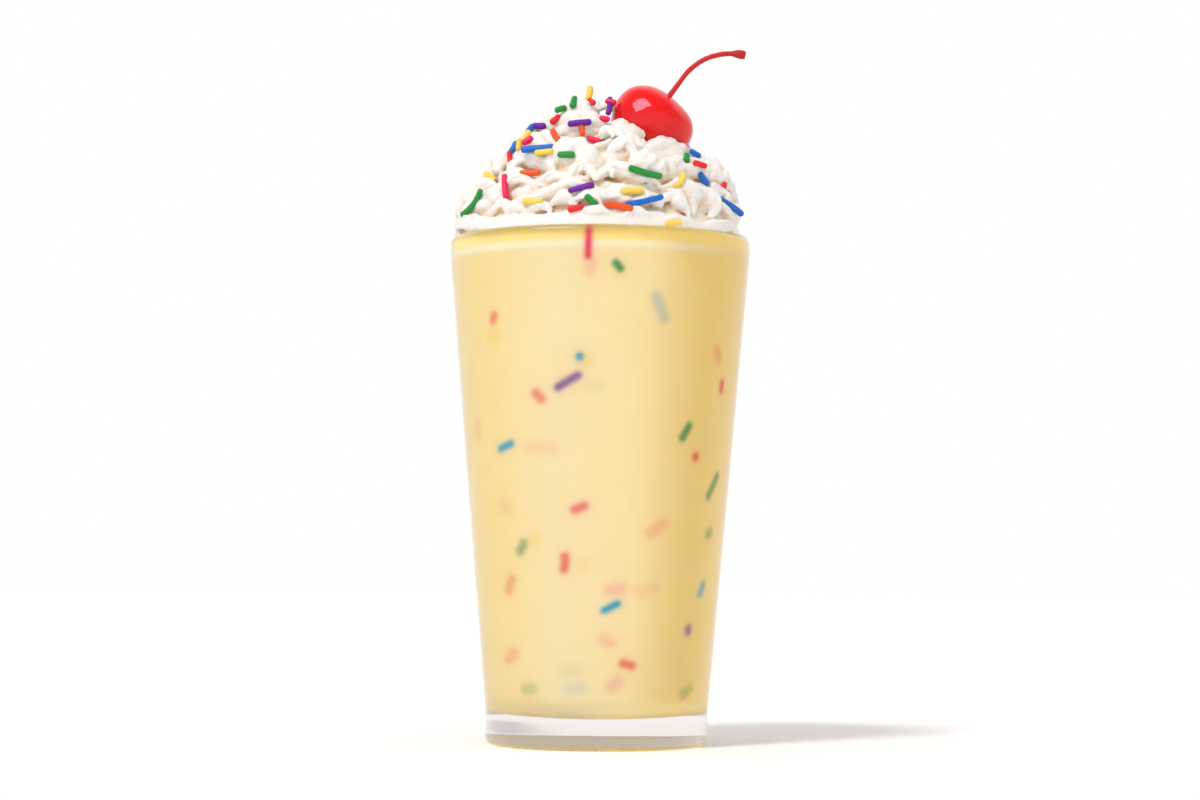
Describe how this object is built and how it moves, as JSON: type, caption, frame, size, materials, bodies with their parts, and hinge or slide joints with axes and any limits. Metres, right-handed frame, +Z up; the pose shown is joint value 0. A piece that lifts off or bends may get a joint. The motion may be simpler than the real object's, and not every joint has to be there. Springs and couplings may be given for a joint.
{
  "type": "milkshake in a pint glass",
  "caption": "Tapered pint glass filled to the brim with a pale yellow milkshake full of coloured sprinkles, under a heap of whipped cream with a stemmed cherry.",
  "frame": {"origin": "centre of the glass's foot, on the surface it stands on", "axes": "+Z up along the glass's axis; the cherry sits towards +X; -Y is the front"},
  "size_m": [0.0888, 0.0888, 0.2072],
  "materials": {
    "glass": "clear polished soda-lime glass",
    "drink": "thick smooth vanilla milkshake, slightly translucent",
    "cream": "soft piped whipped cream, slightly translucent",
    "cherry": "wet glossy preserved cherry skin",
    "stem": "dyed cherry stem, waxy",
    "sprinkles": "sugar sprinkles in several plain colours"
  },
  "bodies": {
    "root": {"glass": "glass", "drink": "drink", "cream": "cream", "cherry": "cherry", "stem": "stem"}
  },
  "joints": []
}
